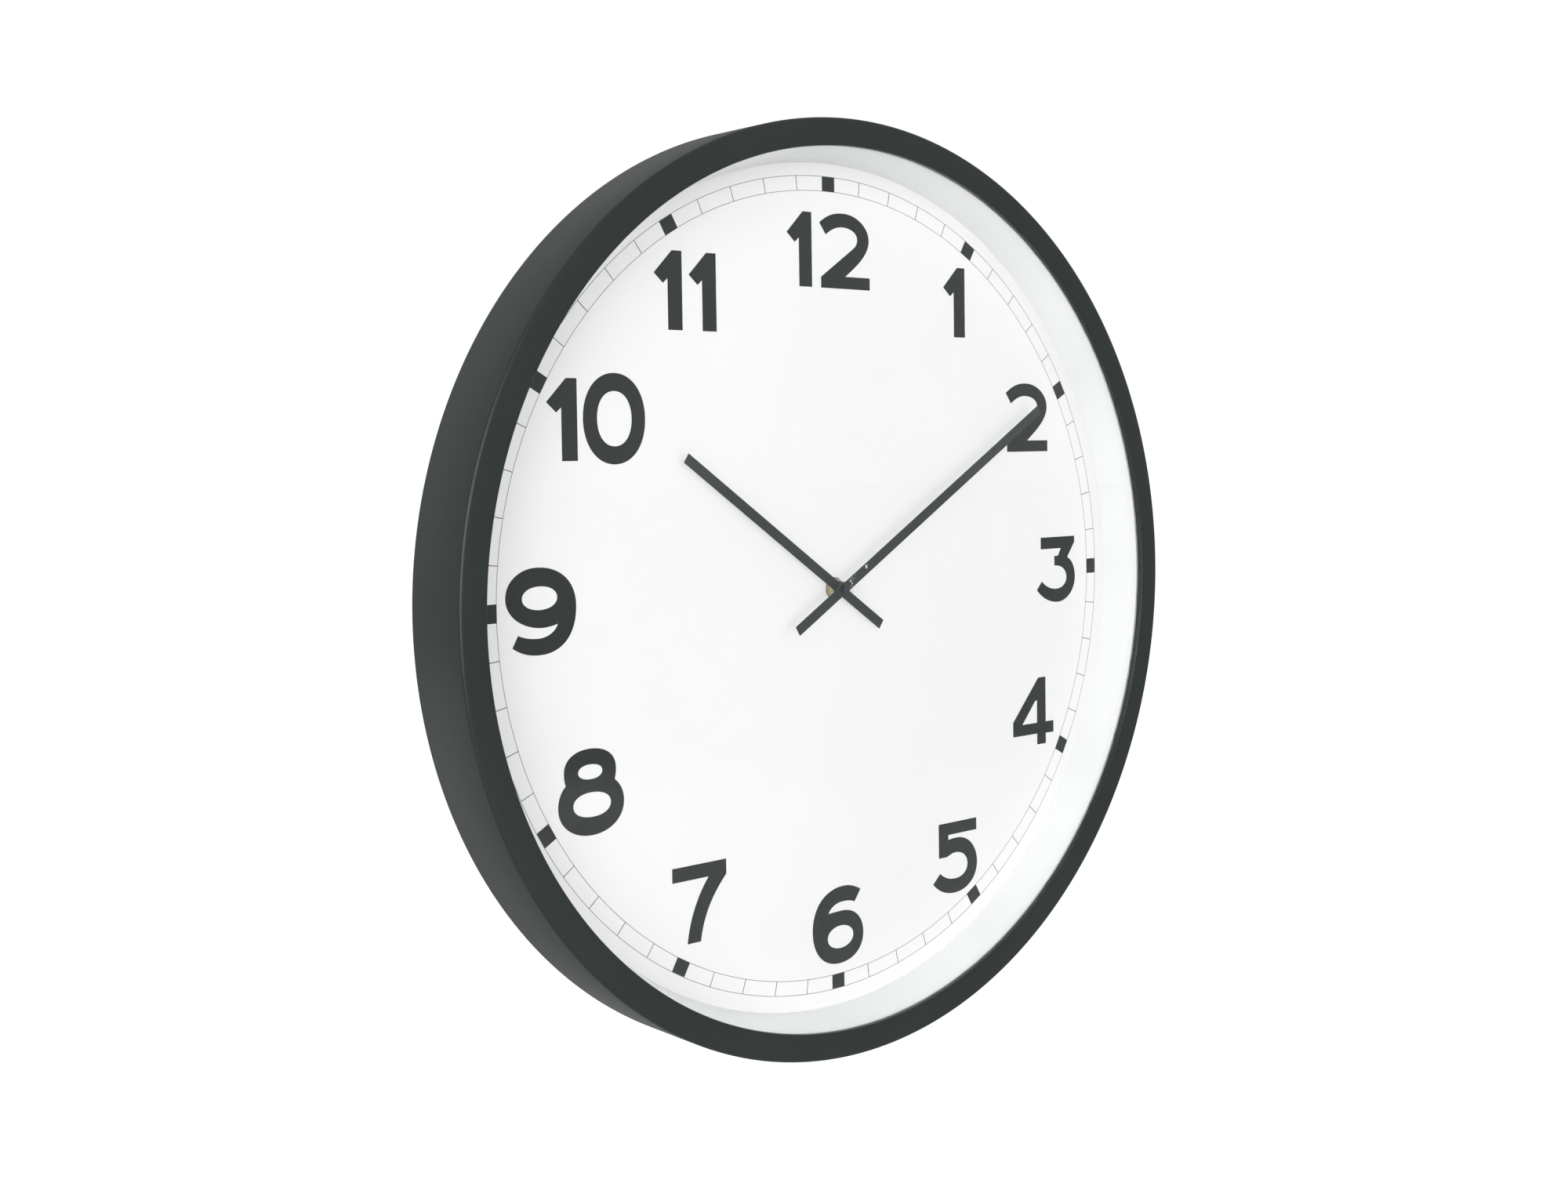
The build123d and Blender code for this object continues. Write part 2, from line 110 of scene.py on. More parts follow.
def makeStudio(s):
    makeRoom(s)
    for name, light in s["lights"].items():
        makeAreaLight(name, **light)
    bm = bmesh.new()
    bmesh.ops.create_grid(bm, x_segments=8, y_segments=8, size=s["floorSize"] / 2)
    bmesh.ops.translate(bm, verts=bm.verts, vec=(0, 0, s["floorHeight"]))
    mesh = bpy.data.meshes.new("floor")
    bm.to_mesh(mesh)
    bm.free()
    floor = bpy.data.objects.new("floor", mesh)
    bpy.context.collection.objects.link(floor)
    mesh.materials.append(makeFloorPaint(s))
    bpy.context.scene.view_settings.view_transform = "Standard"
    bpy.context.scene.view_settings.look = "None"


def makeRoom(s):
    world = bpy.data.worlds.new("paleRoom")
    bpy.context.scene.world = world
    world.use_nodes = True
    nodes = world.node_tree.nodes
    links = world.node_tree.links
    room = nodes["Background"]
    coordinates = nodes.new("ShaderNodeTexCoord")
    height = nodes.new("ShaderNodeSeparateXYZ")
    links.new(coordinates.outputs["Generated"], height.inputs["Vector"])
    glow = rangeNode(world.node_tree, height.outputs["Z"], *s["roomSpan"], *s["roomGlow"])
    links.new(glow, room.inputs["Strength"])
    room.inputs["Color"].default_value = (1.0, 1.0, 1.0, 1.0)
    backdrop = nodes.new("ShaderNodeBackground")
    backdrop.inputs["Color"].default_value = (1.0, 1.0, 1.0, 1.0)
    backdrop.inputs["Strength"].default_value = s["backdropGlow"]
    path = nodes.new("ShaderNodeLightPath")
    mix = nodes.new("ShaderNodeMixShader")
    links.new(path.outputs["Is Camera Ray"], mix.inputs["Fac"])
    links.new(room.outputs["Background"], mix.inputs[1])
    links.new(backdrop.outputs["Background"], mix.inputs[2])
    links.new(mix.outputs["Shader"], nodes["World Output"].inputs["Surface"])


def makeFloorPaint(s):
    material = bpy.data.materials.new("floorPaint")
    material.use_nodes = True
    tree = material.node_tree
    nodes, links = tree.nodes, tree.links
    shader = nodes["Principled BSDF"]
    shader.inputs["Roughness"].default_value = 0.9
    shader.inputs["Specular IOR Level"].default_value = 0.0
    shader.inputs["Emission Color"].default_value = (1.0, 1.0, 1.0, 1.0)
    coordinates = nodes.new("ShaderNodeTexCoord")
    noise = nodes.new("ShaderNodeTexNoise")
    noise.inputs["Scale"].default_value = s["floorPatches"]
    ramp = nodes.new("ShaderNodeValToRGB")
    for element, shade in zip(ramp.color_ramp.elements, s["floorShades"]):
        element.color = (shade, shade, shade, 1.0)
    path = nodes.new("ShaderNodeLightPath")
    glow = rangeNode(tree, path.outputs["Is Camera Ray"], 0.0, 1.0, *s["floorGlow"])
    links.new(coordinates.outputs["Object"], noise.inputs["Vector"])
    links.new(noise.outputs["Fac"], ramp.inputs["Fac"])
    links.new(ramp.outputs["Color"], shader.inputs["Base Color"])
    links.new(glow, shader.inputs["Emission Strength"])
    return material


# Groups that the finishes share give masks only; the shader itself stays in each material.
maskSettings = {
    "contrast": (0.3, 0.7), "ridge": (0.53, 0.62), "patches": (0.45, 0.62), "speckRarity": 0.86,
}


def newGroup(name, inputs, outputs):
    group = bpy.data.node_groups.new(name, "ShaderNodeTree")
    for label, kind, value in inputs:
        socket = group.interface.new_socket(label, in_out="INPUT", socket_type=kind)
        if value is not None:
            socket.default_value = value
    for label, kind in outputs:
        group.interface.new_socket(label, in_out="OUTPUT", socket_type=kind)
    entry = group.nodes.new("NodeGroupInput")
    leave = group.nodes.new("NodeGroupOutput")
    return group, entry.outputs, leave.inputs


def mathNode(tree, operation, a, b, clamp=False):
    node = tree.nodes.new("ShaderNodeMath")
    node.operation = operation
    node.use_clamp = clamp
    for socket, value in zip(node.inputs, (a, b)):
        if isinstance(value, (int, float)):
            socket.default_value = value
        else:
            tree.links.new(value, socket)
    return node.outputs["Value"]


def noiseNode(tree, vector, scale, detail, roughness=0.55):
    node = tree.nodes.new("ShaderNodeTexNoise")
    node.inputs["Detail"].default_value = detail
    node.inputs["Roughness"].default_value = roughness
    tree.links.new(vector, node.inputs["Vector"])
    tree.links.new(scale, node.inputs["Scale"])
    return node.outputs["Fac"]


def rangeNode(tree, value, low, high, toLow=0.0, toHigh=1.0):
    node = tree.nodes.new("ShaderNodeMapRange")
    node.interpolation_type = "SMOOTHSTEP"
    node.inputs["From Min"].default_value = low
    node.inputs["From Max"].default_value = high
    node.inputs["To Min"].default_value = toLow
    node.inputs["To Max"].default_value = toHigh
    tree.links.new(value, node.inputs["Value"])
    return node.outputs["Result"]


def makeMottleGroup(s):
    group, entry, leave = newGroup(
        "mottle",
        [("Vector", "NodeSocketVector", None), ("Broad Scale", "NodeSocketFloat", 12.0),
         ("Fine Scale", "NodeSocketFloat", 900.0)],
        [("Broad", "NodeSocketFloat"), ("Fine", "NodeSocketFloat")])
    broad = noiseNode(group, entry["Vector"], entry["Broad Scale"], 3.0)
    fine = noiseNode(group, entry["Vector"], entry["Fine Scale"], 2.0)
    group.links.new(rangeNode(group, broad, *s["contrast"]), leave["Broad"])
    group.links.new(rangeNode(group, fine, *s["contrast"]), leave["Fine"])
    return group


def makeWearGroup(s):
    group, entry, leave = newGroup(
        "edgeWear",
        [("Vector", "NodeSocketVector", None), ("Amount", "NodeSocketFloat", 0.3),
         ("Patch Scale", "NodeSocketFloat", 160.0)],
        [("Mask", "NodeSocketFloat")])
    geometry = group.nodes.new("ShaderNodeNewGeometry")
    ridge = rangeNode(group, geometry.outputs["Pointiness"], *s["ridge"])
    patchy = noiseNode(group, entry["Vector"], entry["Patch Scale"], 4.0)
    patches = rangeNode(group, patchy, *s["patches"])
    worn = mathNode(group, "MULTIPLY", ridge, patches)
    group.links.new(mathNode(group, "MULTIPLY", worn, entry["Amount"], True), leave["Mask"])
    return group


def makeSpeckGroup(s):
    group, entry, leave = newGroup(
        "dustSpecks",
        [("Vector", "NodeSocketVector", None), ("Scale", "NodeSocketFloat", 220.0),
         ("Size", "NodeSocketFloat", 0.08)],
        [("Mask", "NodeSocketFloat")])
    cells = group.nodes.new("ShaderNodeTexVoronoi")
    group.links.new(entry["Vector"], cells.inputs["Vector"])
    group.links.new(entry["Scale"], cells.inputs["Scale"])
    near = mathNode(group, "LESS_THAN", cells.outputs["Distance"], entry["Size"])
    colour = group.nodes.new("ShaderNodeSeparateColor")
    group.links.new(cells.outputs["Color"], colour.inputs["Color"])
    rare = mathNode(group, "GREATER_THAN", colour.outputs["Red"], s["speckRarity"])
    group.links.new(mathNode(group, "MULTIPLY", near, rare), leave["Mask"])
    return group


groups = {
    "mottle": makeMottleGroup(maskSettings),
    "wear": makeWearGroup(maskSettings),
    "specks": makeSpeckGroup(maskSettings),
}


def placeGroup(tree, group, vector, values):
    node = tree.nodes.new("ShaderNodeGroup")
    node.node_tree = group
    tree.links.new(vector, node.inputs["Vector"])
    for label, value in values.items():
        node.inputs[label].default_value = value
    return node.outputs


def mixColour(tree, factor, a, b):
    node = tree.nodes.new("ShaderNodeMix")
    node.data_type = "RGBA"
    sockets = [s for s in node.inputs if s.enabled]
    for socket, value in zip(sockets, (factor, a, b)):
        if isinstance(value, (int, float)):
            socket.default_value = value
        elif isinstance(value, tuple):
            socket.default_value = (*value, 1.0)
        else:
            tree.links.new(value, socket)
    return [s for s in node.outputs if s.enabled][0]


finishDefaults = {
    "colour": (0.5, 0.5, 0.5), "shade": (0.45, 0.45, 0.45), "wornColour": (0.6, 0.6, 0.6),
    "roughness": (0.45, 0.55), "metallic": 0.0, "specular": 0.5,
    "stretch": (1.0, 1.0, 1.0), "broadScale": 12.0, "fineScale": 900.0, "fineShare": 0.35,
    "bump": 0.2, "bumpDepth": 0.00005, "wear": 0.2, "patchScale": 160.0,
    "specks": 0.0, "speckScale": 220.0, "speckColour": (0.5, 0.5, 0.5),
}


def makeFinish(name, **given):
    s = {**finishDefaults, **given}
    material = bpy.data.materials.new(name)
    material.use_nodes = True
    tree = material.node_tree
    shader = tree.nodes["Principled BSDF"]
    shader.inputs["Metallic"].default_value = s["metallic"]
    shader.inputs["Specular IOR Level"].default_value = s["specular"]
    coordinates = tree.nodes.new("ShaderNodeTexCoord")
    mapping = tree.nodes.new("ShaderNodeMapping")
    mapping.inputs["Scale"].default_value = s["stretch"]
    tree.links.new(coordinates.outputs["Object"], mapping.inputs["Vector"])
    vector = mapping.outputs["Vector"]
    mottle = placeGroup(tree, groups["mottle"], vector,
                        {"Broad Scale": s["broadScale"], "Fine Scale": s["fineScale"]})
    wear = placeGroup(tree, groups["wear"], vector,
                      {"Amount": s["wear"], "Patch Scale": s["patchScale"]})
    blend = mathNode(tree, "ADD", mathNode(tree, "MULTIPLY", mottle["Broad"], 1 - s["fineShare"]),
                     mathNode(tree, "MULTIPLY", mottle["Fine"], s["fineShare"]))
    colour = mixColour(tree, blend, s["shade"], s["colour"])
    colour = mixColour(tree, wear["Mask"], colour, s["wornColour"])
    if s["specks"]:
        specks = placeGroup(tree, groups["specks"], vector, {"Scale": s["speckScale"]})
        colour = mixColour(tree, mathNode(tree, "MULTIPLY", specks["Mask"], s["specks"]),
                           colour, s["speckColour"])
    tree.links.new(colour, shader.inputs["Base Color"])
    tree.links.new(rangeNode(tree, blend, 0.0, 1.0, *s["roughness"]), shader.inputs["Roughness"])
    bump = tree.nodes.new("ShaderNodeBump")
    bump.inputs["Strength"].default_value = s["bump"]
    bump.inputs["Distance"].default_value = s["bumpDepth"]
    tree.links.new(mottle["Fine"], bump.inputs["Height"])
    tree.links.new(bump.outputs["Normal"], shader.inputs["Normal"])
    return material


# A mask that grows as the surface turns to the wall: a turn of -1 is straight out, 1 straight in.
def facingWall(tree, turn):
    coordinates = tree.nodes.new("ShaderNodeTexCoord")
    facing = tree.nodes.new("ShaderNodeSeparateXYZ")
    tree.links.new(coordinates.outputs["Normal"], facing.inputs["Vector"])
    return rangeNode(tree, facing.outputs["Y"], *turn)


sheetBackSettings = {
    "colour": (0.80, 0.81, 0.82), "shade": 0.86, "turn": (0.4, 0.6), "stretch": (1.0, 1.0, 24.0),
    "broadScale": 40.0, "fineScale": 220.0,
}


# The dial sheet is printed on its front only, so its back shows rolled metal.
def bareTheBack(material, s):
    tree = material.node_tree
    shader = tree.nodes["Principled BSDF"]
    back = facingWall(tree, s["turn"])
    coordinates = tree.nodes.new("ShaderNodeTexCoord")
    mapping = tree.nodes.new("ShaderNodeMapping")
    mapping.inputs["Scale"].default_value = s["stretch"]
    tree.links.new(coordinates.outputs["Object"], mapping.inputs["Vector"])
    rolled = placeGroup(tree, groups["mottle"], mapping.outputs["Vector"],
                        {"Broad Scale": s["broadScale"], "Fine Scale": s["fineScale"]})
    shade = tuple(s["shade"] * c for c in s["colour"])
    metal = mixColour(tree, rolled["Fine"], shade, s["colour"])
    front = shader.inputs["Base Color"].links[0].from_socket
    tree.links.new(mixColour(tree, back, front, metal), shader.inputs["Base Color"])
    tree.links.new(back, shader.inputs["Metallic"])


# Colour of the painted shade on the cap nut's flats, and the turn over which it fades in
nutFlatShadeSettings = {"colour": (0.004, 0.005, 0.005), "turn": (-0.85, -0.4)}


# Painted shade: the flats of the cap nut, turned away from the light, are painted darker than its
# face.
def paintShadeOnNutFlats(material, s):
    tree = material.node_tree
    shader = tree.nodes["Principled BSDF"]
    side = facingWall(tree, s["turn"])
    front = shader.inputs["Base Color"].links[0].from_socket
    tree.links.new(mixColour(tree, side, front, s["colour"]), shader.inputs["Base Color"])


glassSettings = {
    "refraction": 1.45, "tints": ((0.985, 0.992, 0.99), (1.0, 1.0, 1.0)), "smear": (0.0, 0.012),
    "broadScale": 9.0, "fineScale": 140.0,
}


# Light reaches the dial straight through the glass, which still mirrors the room.
def makeGlass(name, s):
    material = bpy.data.materials.new(name)
    material.use_nodes = True
    tree = material.node_tree
    shader = tree.nodes["Principled BSDF"]
    output = tree.nodes["Material Output"]
    shader.inputs["Transmission Weight"].default_value = 1.0
    shader.inputs["IOR"].default_value = s["refraction"]
    coordinates = tree.nodes.new("ShaderNodeTexCoord")
    mottle = placeGroup(tree, groups["mottle"], coordinates.outputs["Object"],
                        {"Broad Scale": s["broadScale"], "Fine Scale": s["fineScale"]})
    colour = mixColour(tree, mottle["Broad"], *s["tints"])
    tree.links.new(colour, shader.inputs["Base Color"])
    smear = rangeNode(tree, mottle["Broad"], 0.0, 1.0, *s["smear"])
    tree.links.new(smear, shader.inputs["Roughness"])
    clear = tree.nodes.new("ShaderNodeBsdfTransparent")
    path = tree.nodes.new("ShaderNodeLightPath")
    lamp = mathNode(tree, "MAXIMUM", path.outputs["Is Shadow Ray"], path.outputs["Is Diffuse Ray"])
    mix = tree.nodes.new("ShaderNodeMixShader")
    tree.links.new(lamp, mix.inputs["Fac"])
    tree.links.new(shader.outputs["BSDF"], mix.inputs[1])
    tree.links.new(clear.outputs["BSDF"], mix.inputs[2])
    tree.links.new(mix.outputs["Shader"], output.inputs["Surface"])
    return material


finishes = {
    "case_paint": makeFinish(
        "powderCoat", colour=(0.021, 0.027, 0.026), shade=(0.016, 0.021, 0.021),
        wornColour=(0.16, 0.165, 0.165), roughness=(0.34, 0.42), specular=0.4, broadScale=7.0,
        fineScale=1400.0, bump=0.35, bumpDepth=0.00006, wear=0.12, patchScale=120.0, specks=0.12,
        speckScale=160.0, speckColour=(0.12, 0.12, 0.12)),
    "zinc_steel": makeFinish(
        "zincPlate", colour=(0.60, 0.61, 0.62), shade=(0.47, 0.48, 0.50), metallic=1.0,
        wornColour=(0.72, 0.72, 0.72), roughness=(0.32, 0.46), broadScale=90.0, fineScale=1500.0,
        bump=0.12, bumpDepth=0.00002, wear=0.5),
    "gasket_foam": makeFinish(
        "foamStrip", colour=(0.030, 0.030, 0.030), shade=(0.018, 0.018, 0.018),
        roughness=(0.85, 0.95), specular=0.2, fineScale=2200.0, bump=0.6, bumpDepth=0.0001,
        wear=0.0),
    "white_enamel": makeFinish(
        "whiteMoulding", colour=(0.91, 0.92, 0.92), shade=(0.89, 0.90, 0.90),
        roughness=(0.34, 0.42), wornColour=(0.88, 0.88, 0.87), broadScale=10.0, fineScale=1600.0,
        bump=0.08, bumpDepth=0.00003, wear=0.1),
    "dial_white": makeFinish(
        "dialSheet", colour=(0.835, 0.835, 0.835), shade=(0.815, 0.815, 0.815),
        roughness=(0.48, 0.58), specular=0.35, broadScale=5.0, fineScale=1300.0, bump=0.06,
        bumpDepth=0.00002, wear=0.0, wornColour=(0.8, 0.8, 0.8)),
    "black_rubber": makeFinish(
        "rubber", colour=(0.035, 0.035, 0.035), shade=(0.022, 0.022, 0.022), roughness=(0.7, 0.85),
        fineScale=1800.0, bump=0.3, wear=0.1, wornColour=(0.08, 0.08, 0.08)),
    "nickel_steel": makeFinish(
        "nickelPlate", colour=(0.74, 0.72, 0.68), shade=(0.58, 0.56, 0.52), metallic=1.0,
        roughness=(0.2, 0.32), stretch=(1.0, 6.0, 1.0), broadScale=120.0, fineScale=2400.0,
        bump=0.1, bumpDepth=0.00001, wear=0.6, wornColour=(0.8, 0.78, 0.72)),
    "brass": makeFinish(
        "turnedBrass", colour=(0.98, 0.88, 0.55), shade=(0.92, 0.80, 0.44), metallic=1.0,
        roughness=(0.22, 0.38), stretch=(1.0, 5.0, 1.0), broadScale=140.0, fineScale=2600.0,
        bump=0.1, bumpDepth=0.00001, wear=0.7, wornColour=(0.85, 0.76, 0.45)),
    "hand_black": makeFinish(
        "handLacquer", colour=(0.030, 0.038, 0.037), shade=(0.025, 0.032, 0.031),
        wornColour=(0.35, 0.34, 0.30), roughness=(0.46, 0.6), broadScale=40.0, fineScale=2600.0,
        bump=0.35, bumpDepth=0.00003, wear=0.25, patchScale=420.0),
    "nut_black": makeFinish(
        "blackenedBrass", colour=(0.044, 0.053, 0.060), shade=(0.036, 0.044, 0.050), specular=0.1,
        wornColour=(0.30, 0.27, 0.20), roughness=(0.34, 0.5), broadScale=200.0, fineScale=2600.0,
        bump=0.15, bumpDepth=0.00002, wear=0.45, patchScale=600.0),
    "gear_nylon": makeFinish(
        "acetal", colour=(0.82, 0.80, 0.73), shade=(0.76, 0.74, 0.66), roughness=(0.38, 0.48),
        broadScale=60.0, fineScale=1500.0, bump=0.08, wear=0.1, wornColour=(0.88, 0.86, 0.8)),
    "magnet_grey": makeFinish(
        "bondedMagnet", colour=(0.16, 0.16, 0.17), shade=(0.11, 0.11, 0.12), metallic=0.6,
        roughness=(0.5, 0.65), fineScale=3000.0, bump=0.3, wear=0.2),
    "movement_black": makeFinish(
        "blackMoulding", colour=(0.034, 0.034, 0.036), shade=(0.024, 0.024, 0.026),
        wornColour=(0.12, 0.12, 0.12), roughness=(0.42, 0.56), broadScale=45.0, fineScale=2600.0,
        bump=0.5, bumpDepth=0.00004, wear=0.25, patchScale=300.0),
    "board_green": makeFinish(
        "solderMask", colour=(0.03, 0.18, 0.07), shade=(0.02, 0.13, 0.05), roughness=(0.3, 0.45),
        broadScale=200.0, fineScale=2500.0, bump=0.15, wear=0.1, wornColour=(0.4, 0.38, 0.2)),
    "chip_black": makeFinish(
        "chipEpoxy", colour=(0.02, 0.02, 0.02), shade=(0.014, 0.014, 0.014), roughness=(0.5, 0.6),
        fineScale=4000.0, bump=0.3, wear=0.1, wornColour=(0.06, 0.06, 0.06)),
    "stator_steel": makeFinish(
        "softIron", colour=(0.48, 0.48, 0.49), shade=(0.36, 0.36, 0.38), metallic=1.0,
        roughness=(0.35, 0.5), broadScale=150.0, fineScale=2400.0, bump=0.12, wear=0.4),
    "bobbin_white": makeFinish(
        "bobbinPlastic", colour=(0.78, 0.78, 0.73), shade=(0.7, 0.7, 0.65), roughness=(0.4, 0.5),
        fineScale=1800.0, bump=0.08, wear=0.1, wornColour=(0.85, 0.85, 0.8)),
    "copper_wire": makeFinish(
        "enamelledWire", colour=(0.55, 0.23, 0.09), shade=(0.38, 0.14, 0.05), metallic=0.9,
        roughness=(0.25, 0.4), stretch=(40.0, 1.0, 1.0), broadScale=60.0, fineScale=160.0,
        fineShare=0.7, bump=0.6, bumpDepth=0.00008, wear=0.2),
    "cell_jacket": makeFinish(
        "cellWrap", colour=(0.045, 0.075, 0.12), shade=(0.035, 0.06, 0.10), roughness=(0.25, 0.36),
        specular=0.6, broadScale=60.0, fineScale=1500.0, bump=0.06, wear=0.2,
        wornColour=(0.4, 0.4, 0.4)),
    "clear_glass": makeGlass("floatGlass", glassSettings),
}
bareTheBack(finishes["dial_white"], sheetBackSettings)
# Painted shade on the flats of the cap nut
paintShadeOnNutFlats(finishes["nut_black"], nutFlatShadeSettings)
ink = makeFinish(
    "dialInk", colour=(0.016, 0.020, 0.020), shade=(0.013, 0.016, 0.016), roughness=(0.5, 0.6),
    specular=0.25, broadScale=30.0, fineScale=1800.0, bump=0.06, bumpDepth=0.00001, wear=0.0)
paleInk = makeFinish(
    "paleInk", colour=(0.115, 0.12, 0.12), shade=(0.095, 0.10, 0.10), roughness=(0.5, 0.6),
    specular=0.35, broadScale=30.0, fineScale=1800.0, bump=0.06, bumpDepth=0.00001, wear=0.0)
primer = makeFinish(
    "barePrimer", colour=(0.84, 0.83, 0.80), shade=(0.66, 0.65, 0.62), roughness=(0.5, 0.65),
    broadScale=900.0, fineScale=3000.0, bump=0.3, bumpDepth=0.00002, wear=0.0)
print("finishes ready:", len(finishes) + 3)


def finishPiece(bm, name, body, slot, material=None, replaced=(), place=None, sharpAngle=35.0):
    bmesh.ops.remove_doubles(bm, verts=bm.verts[:], dist=weldDistance)
    bmesh.ops.recalc_face_normals(bm, faces=bm.faces[:])
    bm.transform(standUp @ place if place else standUp)
    mesh = bpy.data.meshes.new(name)
    bm.to_mesh(mesh)
    bm.free()
    return dressMesh(mesh, name, body, slot, material, replaced, sharpAngle)


def dressMesh(mesh, name, body, slot, material=None, replaced=(), sharpAngle=35.0):
    mesh.polygons.foreach_set("use_smooth", [True] * len(mesh.polygons))
    mesh.set_sharp_from_angle(angle=math.radians(sharpAngle))
    mesh.materials.clear()
    mesh.materials.append(material or finishes[slot])
    piece = bpy.data.objects.new(name, mesh)
    bpy.context.collection.objects.link(piece)
    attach(piece, body)
    if replaced:
        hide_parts(*replaced)
    return piece


# Spins an outline of (radius, height); each round is (corner, radius, segments).
def turnProfile(points, rounds=(), steps=192):
    bm = bmesh.new()
    corners = [bm.verts.new((r, 0.0, z)) for r, z in points]
    bm.faces.new(corners)
    for index, radius, segments in rounds:
        bmesh.ops.bevel(bm, geom=[corners[index]], affect="VERTICES", offset=radius,
                        offset_type="OFFSET", segments=segments, profile=0.5, material=-1)
    bmesh.ops.delete(bm, geom=bm.faces[:], context="FACES_ONLY")
    onAxis = [e for e in bm.edges if all(abs(v.co.x) < 1e-6 for v in e.verts)]
    bmesh.ops.delete(bm, geom=onAxis, context="EDGES")
    bmesh.ops.spin(bm, geom=bm.verts[:] + bm.edges[:], cent=(0, 0, 0), axis=(0, 0, 1),
                   dvec=(0, 0, 0), angle=math.tau, steps=steps, use_merge=True)
    return bm


def cutHexagon(bm, acrossFlats):
    for side in range(6):
        angle = math.radians(30.0 + 60.0 * side)
        normal = Vector((math.cos(angle), math.sin(angle), 0.0))
        cut = bmesh.ops.bisect_plane(bm, geom=bm.verts[:] + bm.edges[:] + bm.faces[:], dist=1e-6,
                                     plane_co=normal * acrossFlats / 2, plane_no=normal,
                                     clear_outer=True)
        edges = [g for g in cut["geom_cut"] if isinstance(g, bmesh.types.BMEdge)]
        bmesh.ops.contextual_create(bm, geom=edges)


# A nut is turned a little wider than its corners, and its six flats are cut after that.
nutSettings = {"spare": 0.01, "face": 0.97, "slope": 30.0, "steps": 96}


def hexNut(acrossFlats, low, high, bore, chamfer):
    s = nutSettings
    outer = acrossFlats / math.sqrt(3.0) + s["spare"]
    face = acrossFlats / 2 * s["face"]
    drop = (outer - face) * math.tan(math.radians(s["slope"]))
    points = [(bore, low), (face, low), (outer, low + drop), (outer, high - drop),
              (face, high), (bore, high)]
    bm = turnProfile(points, [(0, chamfer, 1), (5, chamfer, 1)], s["steps"])
    cutHexagon(bm, acrossFlats)
    return bm


# Outline points are (x, y) or (x, y, left handle dx, dy, right handle dx, dy).
def arcPoints(centre, radius, start, end, parts):
    step = math.radians(end - start) / parts
    reach = 4.0 / 3.0 * math.tan(step / 4.0) * radius
    points = []
    for i in range(parts + 1):
        angle = math.radians(start) + i * step
        x, y = centre[0] + radius * math.cos(angle), centre[1] + radius * math.sin(angle)
        along = (-math.sin(angle) * reach, math.cos(angle) * reach)
        back = (0.0, 0.0) if i == 0 else (-along[0], -along[1])
        ahead = (0.0, 0.0) if i == parts else along
        points.append((x, y, *back, *ahead))
    return points


def ringPoints(centre, halfWidth, halfHeight, roundness=0.5523):
    a, b = halfWidth * roundness, halfHeight * roundness
    x, y = centre
    return [(x + halfWidth, y, 0, -b, 0, b), (x, y + halfHeight, a, 0, -a, 0),
            (x - halfWidth, y, 0, b, 0, -b), (x, y - halfHeight, -a, 0, a, 0)]


# Fills the outlines as one flat shape; an outline inside another cuts a hole.
def flatMesh(name, loops, low, high, edgeRound, resolution):
    curve = bpy.data.curves.new(name, "CURVE")
    curve.dimensions = "2D"
    curve.fill_mode = "BOTH"
    curve.resolution_u = resolution
    curve.extrude = (high - low) / 2 - edgeRound
    curve.bevel_depth = edgeRound
    curve.bevel_resolution = 2 if edgeRound else 0
    curve.offset = -edgeRound
    for loop in loops:
        spline = curve.splines.new("BEZIER")
        spline.bezier_points.add(len(loop) - 1)
        spline.use_cyclic_u = True
        for point, entry in zip(spline.bezier_points, loop):
            x, y = entry[:2]
            handles = entry[2:] if len(entry) > 2 else (0.0, 0.0, 0.0, 0.0)
            point.handle_left_type = "FREE"
            point.handle_right_type = "FREE"
            point.co = (x, y, 0.0)
            point.handle_left = (x + handles[0], y + handles[1], 0.0)
            point.handle_right = (x + handles[2], y + handles[3], 0.0)
    holder = bpy.data.objects.new(name + "Curve", curve)
    bpy.context.collection.objects.link(holder)
    bpy.context.view_layer.update()
    mesh = bpy.data.meshes.new_from_object(holder)
    bpy.data.objects.remove(holder)
    bpy.data.curves.remove(curve)
    mesh.transform(Matrix.Translation((0, 0, (low + high) / 2)))
    return mesh


def flatPiece(name, loops, low, high, body, slot, edgeRound=0.0, turn=0.0, resolution=12,
              **rest):
    mesh = flatMesh(name, loops, low, high, edgeRound, resolution)
    bm = bmesh.new()
    bm.from_mesh(mesh)
    bpy.data.meshes.remove(mesh)
    place = Matrix.Rotation(math.radians(-turn), 4, "Z")
    return finishPiece(bm, name, body, slot, place=place, **rest)


softSettings = {"weld": 1e-6, "flat": 1.0, "sharp": 30.0, "bevelFrom": 40.0, "segments": 2}


# A copy of a CAD node, in metres, with its flat faces joined and its edges rounded
def softened(name, node, body, slot, width):
    s = softSettings
    bm = bmesh.new()
    bm.from_mesh(frame["nodes"][node].data)
    bmesh.ops.remove_doubles(bm, verts=bm.verts[:], dist=s["weld"])
    bmesh.ops.dissolve_limit(bm, angle_limit=math.radians(s["flat"]), verts=bm.verts[:],
                             edges=bm.edges[:])
    mesh = bpy.data.meshes.new(name)
    bm.to_mesh(mesh)
    bm.free()
    piece = dressMesh(mesh, name, body, slot, replaced=(node,), sharpAngle=s["sharp"])
    bevel = piece.modifiers.new("softEdges", "BEVEL")
    bevel.width = width / 1000.0
    bevel.segments = s["segments"]
    bevel.limit_method = "ANGLE"
    bevel.angle_limit = math.radians(s["bevelFrom"])
    bevel.harden_normals = True


caseSettings = {
    "radius": 300.0, "depth": 51.0, "sheet": 1.2, "corner": 2.5, "lipRadius": 282.5,
    "lipDepth": 3.7, "lipRound": 1.2, "rearEdge": 0.35, "lipEdge": 0.3, "steps": 288,
}


